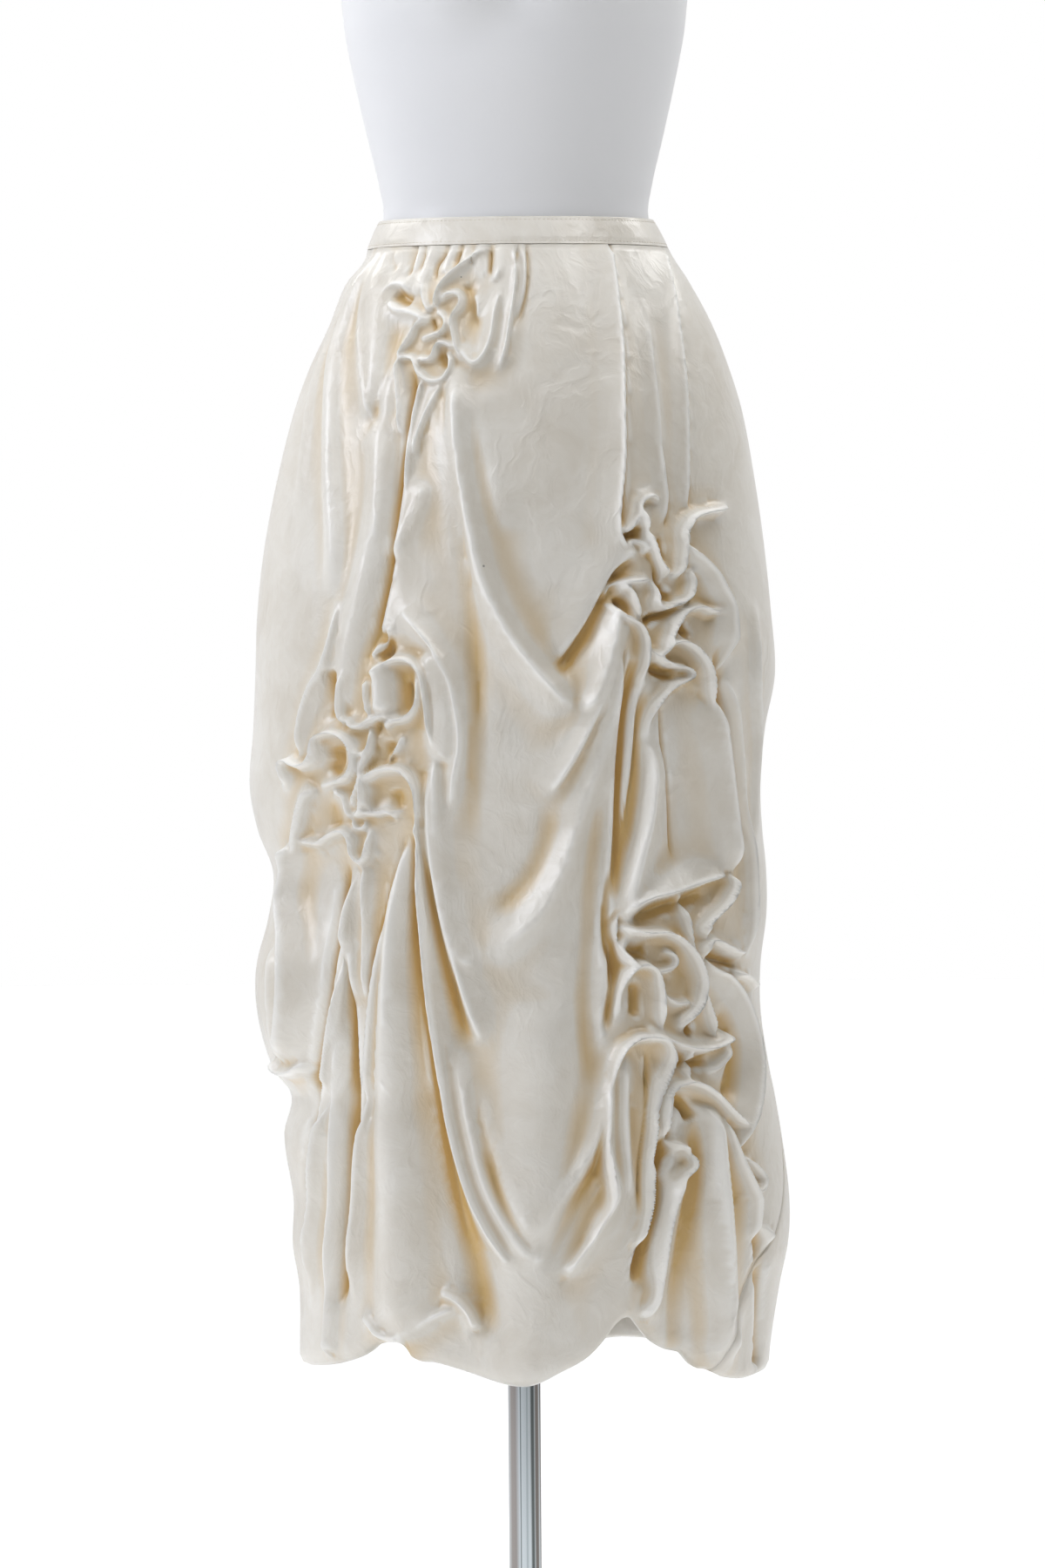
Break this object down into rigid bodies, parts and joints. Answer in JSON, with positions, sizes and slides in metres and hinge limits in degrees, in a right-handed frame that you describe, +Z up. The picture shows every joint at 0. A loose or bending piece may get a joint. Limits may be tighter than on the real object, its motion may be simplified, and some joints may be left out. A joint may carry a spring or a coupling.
{
  "type": "balloon skirt on dress form",
  "caption": "Long balloon skirt of washed satin with hand-ruched pinches, a plain waistband and a turned-under hem, on a limbless dress form with a pole stand.",
  "frame": {"origin": "middle of the stand base's underside, on the floor", "axes": "+Z up along the pole, -Y the front of the skirt, +X to the right of someone who faces its front"},
  "size_m": [0.4188, 0.3422, 1.564],
  "materials": {
    "satin": "washed ivory satin, soft sheen",
    "form_shell": "smooth white satin lacquer",
    "chrome": "polished"
  },
  "bodies": {
    "root": {"waistband": "satin", "front_panel": "satin", "back_panel": "satin", "dress_form": "form_shell", "form_collar": "chrome", "stand_pole": "chrome", "stand_base": "chrome"}
  },
  "joints": []
}
